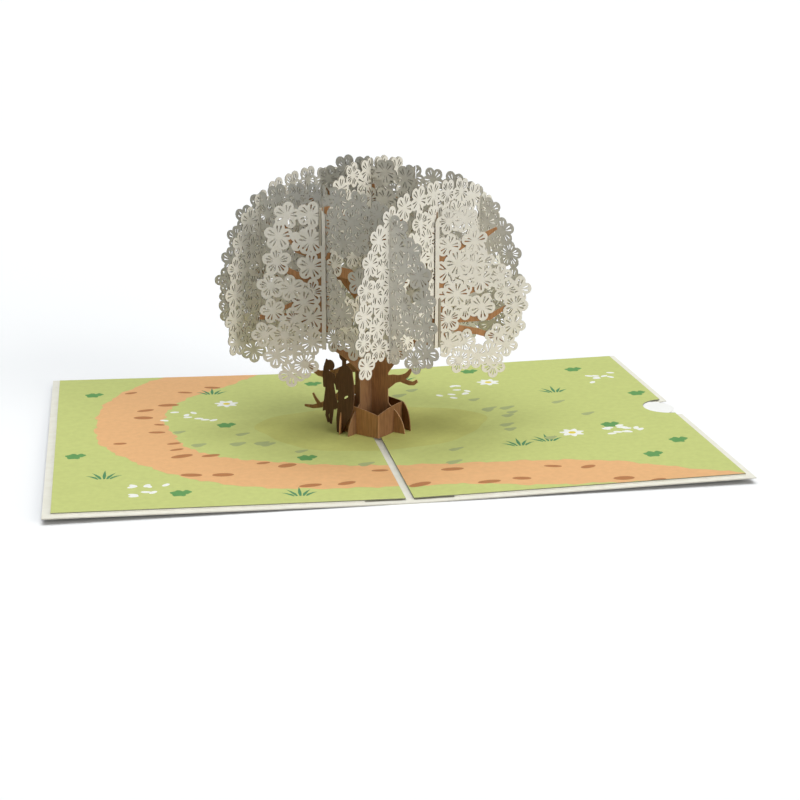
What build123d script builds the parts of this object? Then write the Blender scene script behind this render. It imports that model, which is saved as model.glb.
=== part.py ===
from build123d import *
import os
from math import atan2, cos, degrees, hypot, pi, radians, sin, sqrt, tan

# A greeting card, lying open, with a blossom tree of slotted sheets that stands up from its fold.
# Millimetres, +Z up. The origin is the middle of the spine, on the table. +X is the right panel,
# +Y is the back edge of the card.

# Card cover
panel_width = 127.0
panel_depth = 178.0
cover_thickness = 0.40
spine_half = 4.0
panel_lift_deg = 0.95

# Printed lawn sheets and the tape strips under them
lawn_thickness = 0.35
tape_thickness = 0.45
lawn_margin = 3.0
lawn_gap_half = 1.5
tape_width = 8.0
tape_spine_width = 4.0
tab_bay_width = 12.0
glue_gap = 0.02

# Note card in the right pocket, and its thumb notch
note_thickness = 0.30
note_side_clearance = 1.0
note_inner_clearance = 2.0
note_length = 90.0
note_corner = 3.0
pull_half_width = 9.0
pull_y = 3.0
pull_setback = 0.6
notch_half_width = 10.0
notch_depth = 13.0
cover_notch_depth = 8.0

# Blossom tree: sheets and slots
blossom_sheet = 0.30
branch_sheet = 0.35
slot_clearance = 0.20
lattice_half = 30.4
lattice_reach = 52.0
split_height = 70.0
blossom_radius = 5.3
blossom_notch = 3.9
blossom_shoulder_deg = 15.0
blossom_turn_deg = 137.5
blossom_pitch = 9.6
petals = 5

# Height that the tables of places below are drawn for, in percent
tree_height = 100.0

# Crown outlines, as the run of blossom centres round each sheet
outer_top = 98.0
outer_shoulder = 50.0
outer_power = 2.7
crown_top = 104.5
crown_shoulder = 52.0
crown_power = 5.0
crown_wall_gap = 0.8
crown_lowest = 33.0
dome_samples = 12

# Trunk, roots and the tabs that carry the sprays
trunk_half = 8.0
trunk_fork_height = 26.0
limb_steps = 7
root_reach = 16.0
root_height = 10.5
root_shoulder = 2.4
hook_root = 26.0
hook_flush = 0.45
hook_a_low = 46.0
hook_a_high = 94.0
hook_b_low = 39.0
hook_b_high = 91.0
spray_gap = 1.6
spray_turn_deg = 8.0
spray_inset = 1.8
spine_inset = 1.2
spine_width = 3.8
spine_margin = 3.0
spray_a_split = 80.0
spray_b_split = 58.0

# Ring of roots
ring_front_y = -15.0
ring_back_y = 22.0
ring_foot_x = 14.2
ring_foot_y = -8.0
ring_apex_height = 10.4
ring_mid_height = 12.0
ring_top_height = 12.5
ring_flare = 5.8
ring_split = 5.5
anchor_tab_width = 4.5
anchor_tab_reach = 3.5
anchor_tab_sheet = 0.30
slit_clearance = 0.30
front_tab_at = 6.6
back_tab_at = 12.0

# Cut out couple
couple_offset = 13.4
couple_split = 4.5
couple_width = 20.0

seat_gap = 0.02
past_edge = 150.0

lift = radians(panel_lift_deg)
diagonal = sqrt(0.5)
stack_height = cover_thickness + tape_thickness + lawn_thickness + 2 * glue_gap
percent = tree_height / 100


def save(name, solid):
    """Writes one named piece."""
    solid.label = name
    export_step(solid, f"parts/{name}.step")


def panel(side):
    """The plane of one panel: local x runs out from the hinge, local z stands on the panel."""
    return Plane(
        origin=(side * spine_half, 0, 0),
        x_dir=(side * cos(lift), 0, sin(lift)),
        z_dir=(-side * sin(lift), 0, cos(lift)),
    )


def lawn_height(x):
    """Height of the top of the printed sheet over the table at a distance x from the spine."""
    return stack_height / cos(lift) + (abs(x) - spine_half) * tan(lift)


def upright(x, y, heading):
    """A standing plane: local x runs along the heading, local y is up."""
    across = (sin(heading), -cos(heading), 0)
    return Plane(origin=(x, y, 0), x_dir=(cos(heading), sin(heading), 0), z_dir=across)


def sheet(plane, face, thickness, offset=0.0):
    """A flat sheet cut to a face, with its middle at an offset from the plane."""
    return extrude(plane.offset(offset) * face, amount=thickness / 2, both=True)


def outline(points):
    """A closed face with straight sides."""
    return make_face(Polyline(*points, close=True))


def block(s_low, s_high, z_low, z_high):
    """A rectangle given by its sides."""
    return Pos((s_low + s_high) / 2, (z_low + z_high) / 2) * Rectangle(s_high - s_low, z_high - z_low)


def slot(at, width, low, high):
    """A slot of a width, between two heights."""
    return block(at - width / 2, at + width / 2, low, high)


def half_lap(at, width, height, from_below):
    """A slot that runs to a height from the sheet's lower edge, or from its upper edge."""
    low, high = (-past_edge, height) if from_below else (height, past_edge)
    return slot(at, width, low, high)


def crossing_width(other, own, angle):
    """Width of a slot in one sheet for another that crosses it at an angle."""
    return (other + own * abs(cos(angle))) / abs(sin(angle)) + slot_clearance


# Card cover: one folded sheet, flat at the spine, with both panels lifted a little
wing = panel_width - spine_half


def cover():
    """The folded cover, with the thumb notch in its right edge."""
    bend = cover_thickness * tan(lift / 2)
    lean = cover_thickness * sin(lift)
    edge_x = spine_half + wing * cos(lift)
    edge_z = wing * sin(lift)
    right = [
        (spine_half, 0),
        (edge_x, edge_z),
        (edge_x - lean, edge_z + cover_thickness * cos(lift)),
        (spine_half - bend, cover_thickness),
    ]
    left = [(-x, z) for x, z in reversed(right)]
    folded = extrude(Plane.XZ * outline(right + left), amount=panel_depth / 2, both=True)
    notch = Pos(wing, pull_y) * Ellipse(cover_notch_depth, notch_half_width)
    return folded - extrude(panel(1) * notch, amount=5, both=True)


# Ring of roots: headings and crossings, worked out from its corners
front_heading = pi / 4
back_heading = atan2(ring_foot_y - ring_back_y, ring_foot_x)
back_run = hypot(ring_foot_x, ring_back_y - ring_foot_y)
front_cross = -ring_front_y * diagonal
back_share = ring_back_y / (ring_back_y - ring_foot_y + ring_foot_x)
back_cross = back_share * ring_foot_x / diagonal
back_cross_run = back_share * back_run
corner_share = (ring_back_y - ring_front_y) / (ring_back_y - ring_foot_y + ring_foot_x)
ring_angle = front_heading - back_heading
corner_gap = crossing_width(branch_sheet, branch_sheet, ring_angle) / 2
front_run = corner_share * ring_foot_x / diagonal - corner_gap
couple_share = (ring_back_y + couple_offset / diagonal) / (ring_back_y - ring_foot_y + ring_foot_x)
couple_cross_run = couple_share * back_run
couple_cross = (couple_share * (ring_back_y - ring_foot_y - ring_foot_x) - ring_back_y) * diagonal


def turned(heading, side):
    """The heading of a right wing, or of its mirror image on the left."""
    return heading if side > 0 else pi - heading


def tab_places(side):
    """Where the anchor tabs of both ring sheets stand on one panel, with their headings."""
    front = (ring_front_y, turned(front_heading, side), front_tab_at)
    back = (ring_back_y, turned(back_heading, side), back_tab_at)
    return [(at * cos(along), start_y + at * sin(along), along) for start_y, along, at in (front, back)]


# Printed sheets and tape strips
tape_inner = tab_bay_width
lawn_inner = lawn_gap_half - spine_half
lawn_outer = wing - lawn_margin
lawn_half_depth = panel_depth / 2 - lawn_margin
tape_half_depth = lawn_half_depth - tape_width
tape_level = cover_thickness + glue_gap
lawn_level = tape_level + tape_thickness + glue_gap


def lawn(side):
    """One printed sheet, with the slits for the anchor tabs, and the thumb notch on the right."""
    face = block(lawn_inner, lawn_outer, -lawn_half_depth, lawn_half_depth)
    if side > 0:
        face -= Pos(lawn_outer, pull_y) * Ellipse(notch_depth - lawn_margin, notch_half_width)
    solid = extrude(panel(side).offset(lawn_level) * face, amount=lawn_thickness)
    for x, y, heading in tab_places(side):
        slit = Box(anchor_tab_width + slit_clearance, branch_sheet + slit_clearance, 20)
        solid -= Pos(x, y, 0) * Rot(0, 0, degrees(heading)) * slit
    return solid


def tape_strips(side):
    """The tape strips under one printed sheet. The outer side of the right one is left open, as a pocket."""
    faces = {
        "inner": block(tape_inner, tape_inner + tape_spine_width, -tape_half_depth, tape_half_depth),
        "front": block(tape_inner, lawn_outer, *sorted((-side * tape_half_depth, -side * lawn_half_depth))),
        "back": block(tape_inner, lawn_outer, *sorted((side * tape_half_depth, side * lawn_half_depth))),
    }
    if side < 0:
        faces["outer"] = block(lawn_outer - tape_width, lawn_outer, -tape_half_depth, tape_half_depth)
    level = panel(side).offset(tape_level)
    return {place: extrude(level * face, amount=tape_thickness) for place, face in faces.items()}


def note_card():
    """A plain card with a round pull tab, loose in the right pocket."""
    inner = tape_inner + tape_spine_width + note_inner_clearance
    half = tape_half_depth - note_side_clearance
    body = Pos(inner + note_length / 2, 0) * RectangleRounded(note_length, 2 * half, note_corner)
    tab_middle = wing - pull_setback - pull_half_width
    neck_start = inner + note_length - note_corner
    tab = block(neck_start, tab_middle, pull_y - pull_half_width, pull_y + pull_half_width)
    tab += Pos(tab_middle, pull_y) * Circle(pull_half_width)
    return extrude(panel(1).offset(tape_level) * (body + tab), amount=note_thickness)


# Cream blossom sheets
def superellipse(half, low, high, power):
    """Points over the top of a dome, from the left shoulder to the right one."""
    points = []
    for k in range(dome_samples + 1):
        turn = pi * k / dome_samples
        across = abs(cos(turn)) ** (2 / power) * (-half if turn < pi / 2 else half)
        points.append((across, low + (high - low) * abs(sin(turn)) ** (2 / power)))
    return points


def places(table):
    """The places of a table, which is drawn in percent of the tree's height."""
    return [tuple(value * percent for value in row) for row in table]


def blossom():
    """A five-petalled blossom with flat petal ends: a notch and two shoulders to a petal."""
    corners = ((0, blossom_notch), (180 / petals - blossom_shoulder_deg, blossom_radius))
    corners += ((180 / petals + blossom_shoulder_deg, blossom_radius),)
    points = []
    for petal in range(petals):
        for bearing, reach in corners:
            turn = radians(petal * 360 / petals + bearing)
            points.append((reach * cos(turn), reach * sin(turn)))
    return outline(points)


def blossom_face(rim, windows):
    """A sheet with an edge of blossoms, set evenly along the rim, and windows between them.

    Each blossom is turned on from the last. A window is a place, a length, a width and a turn.
    """
    path = Polyline(*rim, close=True)
    count = round(path.length / blossom_pitch)
    face = make_face(path)
    for k in range(count):
        spot = path @ (k / count)
        face += Pos(spot.X, spot.Y) * Rot(0, 0, k * blossom_turn_deg) * blossom()
    for *sizes, turn in windows:
        s, z, long, wide = places([sizes])[0]
        gap = outline([(-long / 2, 0), (0, -wide / 2), (long / 2, 0), (-long / 8, wide / 2)])
        face -= Pos(s, z) * Rot(0, 0, turn) * gap
    return face


outer_droop = {
    "front_left": [
        (46.5, 40.5), (37, 42.5), (27, 46), (14, 43), (2, 45), (-10, 46), (-24, 44), (-36, 45), (-44, 43),
    ],
    "front_right": [
        (44, 46), (34, 40), (22, 44), (10, 41), (0, 43), (-14, 47), (-26, 43), (-37, 46), (-45, 40.5),
    ],
    "back_left": [(44, 45), (33, 43), (20, 47), (6, 44), (-8, 46), (-22, 44), (-34, 44), (-46, 41)],
    "back_right": [(44, 42), (34, 43), (20, 46), (8, 44), (-8, 47), (-20, 43), (-34, 44), (-44, 45)],
}

outer_windows = {
    "front_left": [
        (-14, 84, 7, 4, 60), (-23, 66, 6, 4, 20), (10, 74, 6, 3, 120), (18, 58, 6, 4, 30), (24, 80, 5, 3, 80),
    ],
    "front_right": [
        (-21, 85, 6, 4, 100), (-12, 62, 7, 4, 30), (12, 82, 7, 4, 20),
        (18, 60, 6, 4, 140), (37, 66, 6, 4, 50),
    ],
    "back_left": [(-20, 78, 7, 4, 40), (-10, 60, 6, 4, 120), (14, 84, 7, 4, 70), (22, 64, 6, 4, 10)],
    "back_right": [(-16, 86, 6, 4, 20), (-22, 62, 7, 4, 80), (12, 66, 6, 4, 130), (20, 84, 7, 4, 50)],
}

crown_windows = {
    "a": [
        (-20, 86, 7, 4, 30), (-13, 64, 7, 5, 110), (14, 90, 6, 4, 70), (20, 66, 7, 4, 10), (9, 54, 6, 4, 50),
    ],
    "b": [
        (-18, 92, 7, 4, 80), (-21, 62, 6, 5, 20), (12, 84, 7, 4, 130), (20, 70, 6, 4, 60), (-9, 56, 6, 4, 30),
    ],
}

crown_low = [(18, 45), (11, 38), (2, 44), (-8, 39), (-17, 44)]


def lattice_plane(family, offset=0.0):
    """The standing plane of one lattice sheet, at an offset across its family."""
    if family == "a":
        return upright(offset * diagonal, -offset * diagonal, pi / 4)
    return upright(offset * diagonal, offset * diagonal, -pi / 4)


outer_slot = blossom_sheet + slot_clearance
branch_slot = branch_sheet + slot_clearance
core_slot = branch_sheet + 2 * blossom_sheet + slot_clearance


def outer_sheet(name, family, offset):
    """One of the four cream sheets of the square lattice."""
    reach = lattice_reach - blossom_radius
    rim = superellipse(reach, outer_shoulder, outer_top, outer_power) + places(outer_droop[name])
    face = blossom_face(rim, outer_windows[name])
    for at, width in ((-lattice_half, outer_slot), (0, branch_slot), (lattice_half, outer_slot)):
        face -= half_lap(at, width, split_height, family == "a")
    return sheet(lattice_plane(family, offset), face, blossom_sheet)


def crown_sheet(family, face_side):
    """A cream sheet glued on one face of a brown sheet, inside the lattice."""
    reach = lattice_half - crown_wall_gap - blossom_radius
    rim = superellipse(reach, crown_shoulder, crown_top, crown_power) + places(crown_low)
    face = blossom_face(rim, crown_windows[family])
    face -= half_lap(0, core_slot, split_height, family == "a")
    offset = face_side * (branch_sheet + blossom_sheet) / 2
    return sheet(lattice_plane(family), face, blossom_sheet, offset)


# Brown sheets of the trunk
spray_pair = branch_sheet + blossom_sheet
spray_angle = pi / 4 + radians(spray_turn_deg)
hook_slot_for_spray = crossing_width(spray_pair, branch_sheet, spray_angle)
spray_slot_for_hook = crossing_width(branch_sheet, spray_pair, spray_angle)
spray_cross = lattice_half + spray_gap
hook_reach = spray_cross + hook_flush
back_root_slot = crossing_width(branch_sheet, branch_sheet, pi / 4 - back_heading)


def smooth(points):
    """Points at even shares of a smooth curve through the given ones."""
    curve = Spline(*points)
    return [tuple((curve @ (k / limb_steps)).to_tuple()[:2]) for k in range(limb_steps + 1)]


def limb(*table, side=1, base=0, curved=False):
    """A tapering branch, whose sides run past each place of its table at that place's width."""
    nodes = [(side * s, base + z, width) for s, z, width in places(table)]
    left, right = [], []
    for k, (s, z, width) in enumerate(nodes):
        before = nodes[max(k - 1, 0)]
        after = nodes[min(k + 1, len(nodes) - 1)]
        along = hypot(after[0] - before[0], after[1] - before[1])
        nx = -(after[1] - before[1]) / along
        nz = (after[0] - before[0]) / along
        left.append((s + nx * width / 2, z + nz * width / 2))
        right.append((s - nx * width / 2, z - nz * width / 2))
    if curved:
        left, right = smooth(left), smooth(right)
    return outline(left + right[::-1])


def trunk_foot():
    """Trunk and root flares, standing on the two sloping printed sheets."""
    low_mid = lawn_height(0) + seat_gap
    low_out = lawn_height(root_reach * diagonal) + seat_gap
    edges = [Line((-trunk_half, trunk_fork_height), (trunk_half, trunk_fork_height))]
    for side in (-1, 1):
        toe = (side * root_reach, low_out)
        bulge = (side * (root_reach - 0.9), root_height * 0.52)
        knee = (side * (front_cross + branch_slot), root_height)
        neck = (side * trunk_half, root_height + root_shoulder)
        edges += [Line((0, low_mid), toe), ThreePointArc(toe, bulge, knee), Line(knee, neck)]
        edges.append(Line(neck, (side * trunk_half, trunk_fork_height)))
    return make_face(edges)


trunk_taper = ((0, 24, 15.6), (0, 34, 12.5), (0, 50, 9), (0, 76, 6), (0, 99, 3.5))
hook_limb = ((0, -16, 5), (14, -4, 4), (27, 0, 4))
top_limb = ((0, 70, 4), (10, 82, 3), (22, 96, 1.6))

trunk_limbs = {
    "a": [
        ((6, 26, 5), (15, 35, 4), (25, 44, 2.5)),
        ((-6, 27, 5), (-16, 35, 4), (-26, 40, 2)),
    ],
    "b": [
        ((7, 21, 5.2), (10.4, 22.9, 3.8), (13.2, 23.6, 2.6), (16, 23, 2), (18.7, 22.5, 1.7), (22, 24, 1.2)),
        ((12, 23.6, 2.4), (15.4, 24.6, 2.2), (17.6, 26.2, 1.7), (19, 28.8, 0.9)),
        ((6, 26, 3), (8.6, 28, 1.8), (10.2, 30, 0.9)),
        ((-6, 26, 5.4), (-10, 24.7, 4), (-18, 21, 3.2), (-24.7, 19.4, 2.7), (-29, 20.6, 2.2), (-34, 24, 1.4)),
        ((-7, 16, 4), (-11.5, 15, 3.2), (-18, 10.6, 2.8), (-24.8, 6.6, 2.2), (-30, 5, 1.5), (-34, 4.9, 0.9)),
        ((-26, 6.4, 2), (-28, 8.4, 1.4), (-29.6, 10.8, 0.9)),
        ((5, 25, 5), (12, 33, 4), (23, 41, 3)),
    ],
}


def trunk_sheet(family):
    """One of the two crossed brown sheets: trunk, roots, twigs, branches and the two hooks."""
    below = family == "a"
    low, high = (hook_a_low, hook_a_high) if below else (hook_b_low, hook_b_high)
    spray_split = spray_a_split if below else spray_b_split
    face = trunk_foot() + limb(*trunk_taper)
    for table in trunk_limbs[family]:
        face += limb(*table, curved=True)
    for side in (-1, 1):
        face += block(*sorted((side * hook_root, side * hook_reach)), low, high)
        face += limb(*hook_limb, side=side, base=(low + high) / 2)
        face += limb(*top_limb, side=side)
    face -= half_lap(0, branch_slot, split_height, below)
    face -= slot(0, core_slot, *((crown_lowest, split_height) if below else (split_height, past_edge)))
    for side in (-1, 1):
        hook_end = low - 1 if below else high + 1
        face -= slot(side * lattice_half, outer_slot, *sorted((hook_end, split_height)))
        face -= slot(side * spray_cross, hook_slot_for_spray, *sorted((hook_end, spray_split)))
        at_front = (side < 0) == below
        ring_cross, width = (front_cross, branch_slot) if at_front else (back_cross, back_root_slot)
        face -= slot(side * ring_cross, width, ring_split, root_height + root_shoulder)
    return sheet(lattice_plane(family), face, branch_sheet)


# Sprays: a cream sheet and a brown branch sheet behind it, hooked on a trunk sheet
spray_rim = {
    "long": [
        (3.6, 87.6), (8.6, 91), (13.6, 81.6), (15.1, 72.6), (22, 67), (29, 62), (35, 57), (28, 50.5),
        (31.8, 42.8), (26.5, 37), (22, 29.6), (16.5, 35), (11.5, 31), (3.6, 36.4),
    ],
    "short": [
        (3.6, 91.6), (9.6, 93.6), (16, 88.6), (15, 78), (19, 66), (17.5, 57), (21.5, 46),
        (19, 39), (13.5, 36), (10.5, 28.4), (6.4, 34.6), (3.6, 37.6),
    ],
}

spray_windows = {
    "long": [(7.6, 78.6, 6, 4, 30), (14.4, 45.6, 16, 5, -12), (11.6, 59.6, 5, 3, 20), (22.6, 56.6, 5, 4, 60)],
    "short": [(11.6, 85.6, 6, 4, 110), (6.6, 73.6, 6, 4, 60), (9.6, 67.6, 8, 3, 0), (11.6, 57.6, 7, 3, 50)],
}

branch_limbs = {
    "long": [
        ((0, 47.6, 4), (7.6, 49.6, 3), (20.6, 49.4, 2.4), (28.6, 53.6, 1.2)),
        ((2, 47.1, 3), (15.6, 44.1, 2.4), (22.6, 41.4, 2), (28.6, 36.6, 1)),
        ((0, 73.6, 3.4), (9.6, 78.6, 2.8), (17.6, 81.1, 2.4), (23, 83.9, 1)),
        ((0, 61.6, 3), (9.6, 59.6, 2.6), (21.6, 62.6, 1.4)),
    ],
    "short": [
        ((0, 51.6, 4), (13.6, 53, 2.6), (23.1, 52.8, 1.8)),
        ((0, 59.6, 3.4), (7.6, 58.6, 2.8), (14.6, 56.1, 1.4)),
        ((0, 65.6, 3.4), (9.6, 69, 2.8), (15.6, 72.6, 1.4)),
        ((0, 75.6, 3.4), (8.6, 78.6, 2.8), (13.6, 87.6, 1.8)),
    ],
}


def spray(side, front, brown):
    """The cream or the brown sheet of one spray, with the cream one towards its own end of the card."""
    kind = "long" if (side > 0) == front else "short"
    end = -1 if front else 1
    heading = -end * turned(radians(spray_turn_deg), side)
    facing = -end * side
    plane = upright(side * spray_cross * diagonal, end * spray_cross * diagonal, heading)
    if brown:
        roots = places(table[0] for table in branch_limbs[kind])
        low = min(z - width / 2 for s, z, width in roots) - spine_margin
        high = max(z + width / 2 for s, z, width in roots) + spine_margin
        face = block(-spine_inset, spine_width - spine_inset, low, high)
        for table in branch_limbs[kind]:
            face += limb(*table)
    else:
        rim = places(spray_rim[kind])
        face = blossom_face(rim, spray_windows[kind])
        face += block(-spray_inset, rim[0][0], rim[-1][1], rim[0][1])
        face -= block(-past_edge, -spray_inset, 0, past_edge)
    split = spray_b_split if kind == "long" else spray_a_split
    face -= half_lap(0, spray_slot_for_hook, split, kind == "long")
    if brown:
        return sheet(plane, face, branch_sheet, -facing * blossom_sheet / 2)
    return sheet(plane, face, blossom_sheet, facing * branch_sheet / 2)


# Ring sheets
def wing_face(run, low_out, top):
    """One wing, from the fold to its end: the upper edges are given, the lower one stands on the panel."""
    low_in = lawn_height(0) + seat_gap
    start = -branch_sheet
    fold = [(0, low_in), (start, low_in), (start, ring_apex_height), (0, ring_apex_height)]
    return make_face(top + [Polyline((run, low_out), *fold)])


def ring_wing(side, start_y, heading, face, tab_at, fold):
    """One standing wing with its anchor tab, whose end is folded flat under the printed sheet."""
    along = turned(heading, side)
    half = anchor_tab_width / 2
    tab = block(tab_at - half, tab_at + half, tape_level + glue_gap, ring_split)
    standing = sheet(upright(0, start_y, along), face + tab, branch_sheet)
    standing &= Pos(side * past_edge / 2, 0, 0) * Box(past_edge, past_edge, past_edge)
    across = along + side * fold * pi / 2
    x = tab_at * cos(along) + anchor_tab_reach / 2 * cos(across)
    y = start_y + tab_at * sin(along) + anchor_tab_reach / 2 * sin(across)
    flap = Rot(0, 0, degrees(along)) * Rectangle(anchor_tab_width, anchor_tab_reach + branch_sheet)
    flap = Pos(side * x - spine_half, side * y) * flap
    return standing + extrude(panel(side).offset(tape_level) * flap, amount=anchor_tab_sheet)


def ring_front():
    """The front V of the ring, which stops short of the back one."""
    low_out = lawn_height(front_run * cos(front_heading)) + seat_gap
    top = [
        Spline((0, ring_apex_height), (front_run / 2, ring_mid_height), (front_run, ring_top_height)),
        Line((front_run, ring_top_height), (front_run, low_out)),
    ]
    face = wing_face(front_run, low_out, top)
    face -= half_lap(front_cross, branch_slot, ring_split, True)
    wings = Part()
    for side in (-1, 1):
        wings += ring_wing(side, ring_front_y, front_heading, face, front_tab_at, -1)
    return wings


def ring_back():
    """The back V of the ring, with rounded feet. The couple stands in a slot of its left wing."""
    crest = back_run - ring_flare
    low_out = lawn_height(ring_foot_x) + seat_gap
    top = [
        Spline((0, ring_apex_height), (crest / 2, ring_mid_height), (crest, ring_top_height)),
        EllipticalCenterArc((crest, low_out), ring_flare, ring_top_height - low_out, 0, arc_size=90),
    ]
    wings = Part()
    for side in (-1, 1):
        face = wing_face(back_run, low_out, top)
        face -= half_lap(back_cross_run, back_root_slot, ring_split, True)
        if side < 0:
            face -= half_lap(couple_cross_run, back_root_slot, couple_split, False)
        wings += ring_wing(side, ring_back_y, back_heading, face, back_tab_at, 1)
    return wings


# Couple: one brown sheet that stands across the left wing of the ring
woman_body = [
    (-14.3, 9), (-13.4, 15), (-12.5, 20.6), (-13, 24.2), (-11.4, 25.8), (-9.4, 25.6), (-8.5, 24),
    (-8.6, 20.4), (-7.8, 16), (-6.3, 11.8), (-8, 10.6), (-10.4, 10.4),
]
woman_limbs = [
    ((-10.8, 30, 3.2), (-12.2, 27, 2.8), (-13, 23.6, 2.2), (-13.2, 19, 1.1)),
    ((-9.2, 25, 1.6), (-8, 22, 1.3), (-6.6, 19.6, 1.1)),
    ((-9.8, 12, 2.4), (-10.1, 8, 1.6), (-10.4, 4.4, 1)),
    ((-11.4, 12, 2.4), (-12.2, 7.6, 1.5), (-11.4, 4.8, 1)),
]
woman_head = (-10.4, 28.4, 2.1)

man_body = [
    (-7.3, 0.2), (-7.5, 7), (-6.6, 14), (-6.5, 19), (-7.1, 24.6), (-5.4, 28.4), (-3.4, 29.6), (-1.6, 29.2),
    (0.4, 27.6), (1.2, 22.4), (1.3, 16.4), (0.6, 11.6), (-1.2, 7.6), (-4.4, 2.8), (-5.8, 0.2),
]
man_limbs = [((-6.3, 25.4, 1.8), (-7.4, 22, 1.5), (-6.9, 18.8, 1.2)), ((-3.5, 28, 2), (-3.5, 32, 1.8))]
man_head = (-3.5, 33.2, 2.3)
arm_gap = ((-3.6, 15.8, 0.4), (-2.6, 16.6, 1), (-1.6, 17.1, 0.4))


def figure(body, limbs, head):
    """One standing figure: a body, its hair, arms or legs, and a plain round head."""
    face = outline(places(body))
    for table in limbs:
        face += limb(*table)
    (s, z, radius), = places([head])
    return face + Pos(s, z) * Circle(radius)


def couple():
    """Two plain standing figures, hand in hand, cut from one sheet."""
    face = figure(woman_body, woman_limbs, woman_head)
    face += figure(man_body, man_limbs, man_head)
    face -= limb(*arm_gap)
    left_ground = lawn_height((couple_offset + couple_width) * diagonal) + seat_gap
    right_ground = lawn_height(couple_offset * diagonal) + seat_gap
    corners = [(-couple_width, left_ground), (0, right_ground), (0, -past_edge), (-couple_width, -past_edge)]
    face -= outline(corners)
    face -= half_lap(couple_cross, back_root_slot, couple_split, True)
    return sheet(lattice_plane("b", -couple_offset), face, branch_sheet)


os.makedirs("parts", exist_ok=True)

save("cover", cover())
save("note_card", note_card())
for side, hand in ((-1, "left"), (1, "right")):
    save(f"lawn_{hand}", lawn(side))
    for place, strip in tape_strips(side).items():
        save(f"tape_{hand}_{place}", strip)
for name, family, offset in (
    ("front_left", "b", -lattice_half),
    ("front_right", "a", lattice_half),
    ("back_left", "a", -lattice_half),
    ("back_right", "b", lattice_half),
):
    save(f"blossom_{name}", outer_sheet(name, family, offset))
for family in ("a", "b"):
    save(f"trunk_sheet_{family}", trunk_sheet(family))
    save(f"crown_{family}_near", crown_sheet(family, 1))
    save(f"crown_{family}_far", crown_sheet(family, -1))
for end, front in (("front", True), ("back", False)):
    for side, hand in ((-1, "left"), (1, "right")):
        save(f"spray_{end}_{hand}", spray(side, front, False))
        save(f"branch_{end}_{hand}", spray(side, front, True))
save("root_ring_front", ring_front())
save("root_ring_back", ring_back())
save("couple", couple())
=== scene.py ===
"""Looks of a greeting card that lies open, with a cut paper blossom tree standing on its fold.

Sizes of sheets and prints are millimetres, in the card's own frame: the origin is the middle of
the spine on the table, +X is the right panel and +Y the back edge. Meshes are written in metres,
and the finishes and the floor have their sizes in metres.
"""

import logging
import math
from dataclasses import dataclass, field
from enum import Enum

import bpy
import numpy as np
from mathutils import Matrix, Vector
from mathutils.geometry import delaunay_2d_cdt


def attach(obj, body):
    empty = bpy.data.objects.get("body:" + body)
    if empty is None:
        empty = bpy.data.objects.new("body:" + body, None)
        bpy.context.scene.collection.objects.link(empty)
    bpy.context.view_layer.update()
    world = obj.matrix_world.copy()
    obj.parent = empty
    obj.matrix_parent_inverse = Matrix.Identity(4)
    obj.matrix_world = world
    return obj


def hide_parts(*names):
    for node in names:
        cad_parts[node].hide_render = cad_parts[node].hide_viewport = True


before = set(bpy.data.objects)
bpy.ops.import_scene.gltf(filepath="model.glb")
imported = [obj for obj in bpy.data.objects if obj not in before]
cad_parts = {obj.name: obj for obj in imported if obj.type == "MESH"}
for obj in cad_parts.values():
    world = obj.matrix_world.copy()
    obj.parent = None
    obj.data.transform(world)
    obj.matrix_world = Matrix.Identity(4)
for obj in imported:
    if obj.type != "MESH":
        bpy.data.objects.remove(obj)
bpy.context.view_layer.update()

LOG = logging.getLogger("card")
MM = 0.001
DIAGONAL = math.sqrt(0.5)
SPRAY_TURN = math.radians(8.0)
PAST_EDGE = 150.0
INSIDE_ONLY = 1
WELD = 1e-4
WHITE = (1.0, 1.0, 1.0, 1.0)

Colour = tuple[float, float, float, float]
Triple = tuple[float, float, float]
Pair = tuple[float, float]


class Family(Enum):
    """The two directions in which the lattice sheets stand."""

    A = "a"
    B = "b"


class End(Enum):
    """The end of the card that a spray hangs towards, as a sign along Y."""

    FRONT = -1
    BACK = 1


# Colour and node helpers


def linear(red: float, green: float, blue: float) -> Colour:
    """Turns a colour on the 0 to 255 display scale into linear light.

    Args:
        red: Red, 0 to 255.
        green: Green, 0 to 255.
        blue: Blue, 0 to 255.

    Returns:
        The linear colour with an alpha of 1.
    """
    scaled = np.array([red, green, blue]) / 255
    lit = np.where(scaled <= 0.04045, scaled / 12.92, ((scaled + 0.055) / 1.055) ** 2.4)
    return float(lit[0]), float(lit[1]), float(lit[2]), 1.0


@dataclass(frozen=True)
class Touch:
    """How a surface feels: its range of roughness, its shine, and its bump's strength and depth.

    The depth is in metres.
    """

    roughness: Pair
    specular: float
    bump: float
    depth: float


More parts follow.
